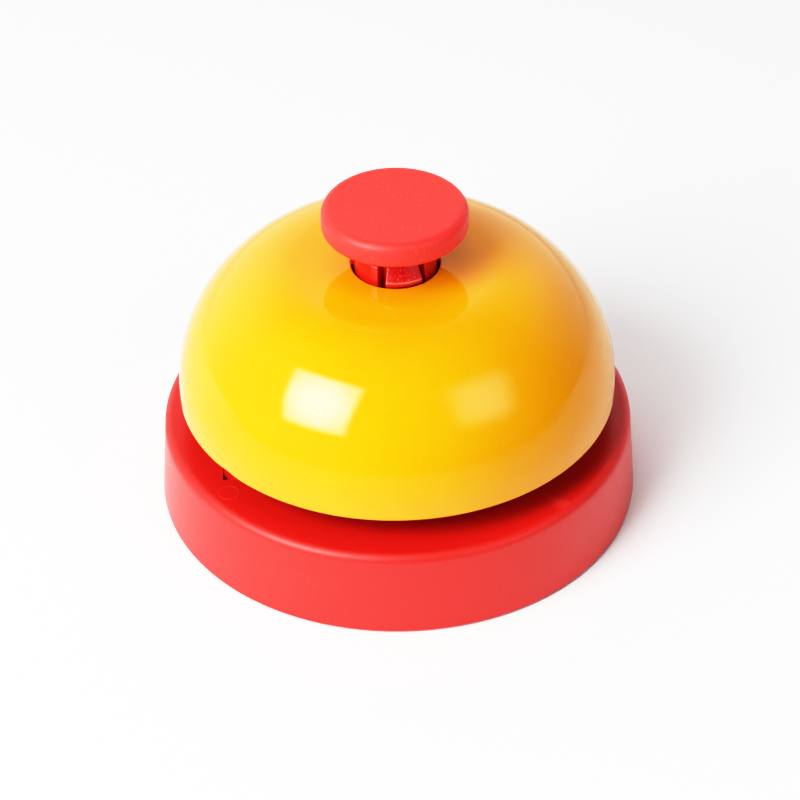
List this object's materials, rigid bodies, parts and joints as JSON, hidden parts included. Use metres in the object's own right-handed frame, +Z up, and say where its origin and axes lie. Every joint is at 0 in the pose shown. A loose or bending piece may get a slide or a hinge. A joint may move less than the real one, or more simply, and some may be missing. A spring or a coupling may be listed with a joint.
{
  "type": "service bell",
  "caption": "Round counter service bell: dished steel bell over a plastic base, rung by a press button that throws a sprung striker inside.",
  "frame": {"origin": "centre of the base, on the surface that the foot pads stand on", "axes": "+Z up along the bell's axis; -Y is the front, the side a guest sees; the striker swings out towards -X"},
  "size_m": [0.085, 0.085, 0.0588],
  "materials": {
    "bell_paint": "gloss",
    "base_plastic": "gloss",
    "button_plastic": "satin",
    "post_plastic": "gloss",
    "cover_plastic": "satin",
    "rocker_plastic": "satin",
    "foot_foam": "matt",
    "washer_fibre": "matt",
    "zinc_steel": "zinc plated",
    "spring_steel": "bright drawn",
    "hammer_brass": "turned",
    "stem_plastic": "satin"
  },
  "bodies": {
    "base": {"base_shell": "base_plastic", "bottom_cover": "cover_plastic", "foot_pad_rear_right": "foot_foam", "foot_pad_rear_left": "foot_foam", "foot_pad_front_left": "foot_foam", "foot_pad_front_right": "foot_foam", "bell_post": "post_plastic", "post_screws": "zinc_steel", "seat_washer": "washer_fibre", "striker_pin": "zinc_steel", "pin_caps": "zinc_steel", "rest_pad": "foot_foam", "return_spring": "spring_steel"},
    "bell": {"bell_dome": "bell_paint"},
    "plunger": {"push_button": "button_plastic", "plunger_stem": "stem_plastic", "stem_clip": "zinc_steel", "stop_washer": "washer_fibre"},
    "striker": {"striker_rocker": "rocker_plastic", "striker_arm": "zinc_steel", "striker_head": "hammer_brass"}
  },
  "joints": [
    {"name": "button_press", "type": "slide", "parent": "base", "child": "plunger", "axis": [0, 0, -1], "range_m": [0, 0.0035], "stiffness_N_per_m": 250, "springref_m": -0.006, "deforming": ["return_spring"]},
    {"name": "striker_swing", "type": "hinge", "parent": "base", "child": "striker", "pos_m": [-0.009, 0, 0.032], "axis": [0, 1, 0], "range_deg": [0, 22.5]},
    {"name": "bell_spin", "type": "hinge", "parent": "base", "child": "bell", "pos_m": [0, 0, 0.046], "axis": [0, 0, 1], "continuous": true}
  ],
  "couplings": [
    {"joint": "striker_swing", "follows": "button_press", "rad_per_m": 112.19}
  ]
}
